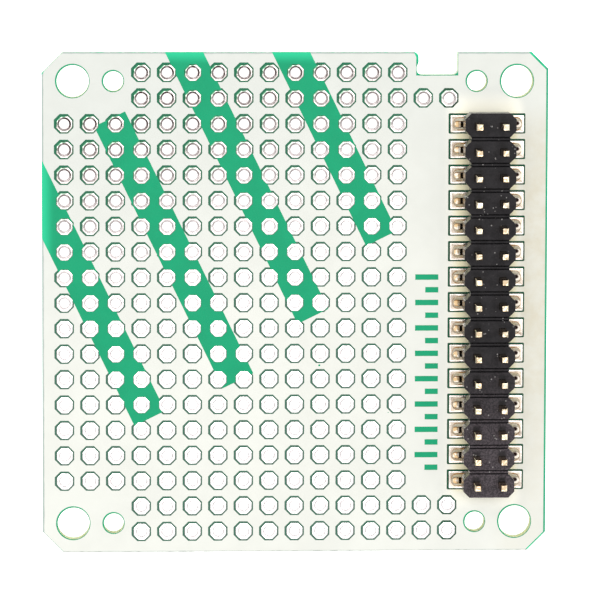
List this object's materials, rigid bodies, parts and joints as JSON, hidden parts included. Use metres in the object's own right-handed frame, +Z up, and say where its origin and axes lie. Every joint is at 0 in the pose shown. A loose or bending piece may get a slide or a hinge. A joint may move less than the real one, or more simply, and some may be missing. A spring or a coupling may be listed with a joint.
{
  "type": "prototyping expansion board",
  "caption": "Square perforated prototyping board with a plated hole grid, corner screw holes, an edge notch and a double-row surface-mount pin header.",
  "frame": {"origin": "middle of the board's underside, on the surface it rests on", "axes": "+Z up out of the component side, +X towards the pin header, +Y towards the notched edge"},
  "size_m": [0.0502, 0.0498, 0.0082],
  "materials": {
    "laminate": "glass-epoxy laminate, routed edges, fibre grain in the cut walls",
    "solder_mask": "green solder mask, satin gloss",
    "white_print": "white printed ink, satin, faintly stained near the header",
    "tinned_pad": "hot-air levelled tin, bright, slightly domed",
    "insulator": "moulded black plastic, semi-gloss with fine dust",
    "pin_metal": "gold-flashed square wire, bright"
  },
  "bodies": {
    "root": {"board": "laminate", "header_insulator": "insulator", "header_pin_left_01": "pin_metal", "header_pin_left_02": "pin_metal", "header_pin_left_03": "pin_metal", "header_pin_left_04": "pin_metal", "header_pin_left_05": "pin_metal", "header_pin_left_06": "pin_metal", "header_pin_left_07": "pin_metal", "header_pin_left_08": "pin_metal", "header_pin_left_09": "pin_metal", "header_pin_left_10": "pin_metal", "header_pin_left_11": "pin_metal", "header_pin_left_12": "pin_metal", "header_pin_left_13": "pin_metal", "header_pin_left_14": "pin_metal", "header_pin_left_15": "pin_metal", "header_pin_right_01": "pin_metal", "header_pin_right_02": "pin_metal", "header_pin_right_03": "pin_metal", "header_pin_right_04": "pin_metal", "header_pin_right_05": "pin_metal", "header_pin_right_06": "pin_metal", "header_pin_right_07": "pin_metal", "header_pin_right_08": "pin_metal", "header_pin_right_09": "pin_metal", "header_pin_right_10": "pin_metal", "header_pin_right_11": "pin_metal", "header_pin_right_12": "pin_metal", "header_pin_right_13": "pin_metal", "header_pin_right_14": "pin_metal", "header_pin_right_15": "pin_metal"}
  },
  "joints": []
}
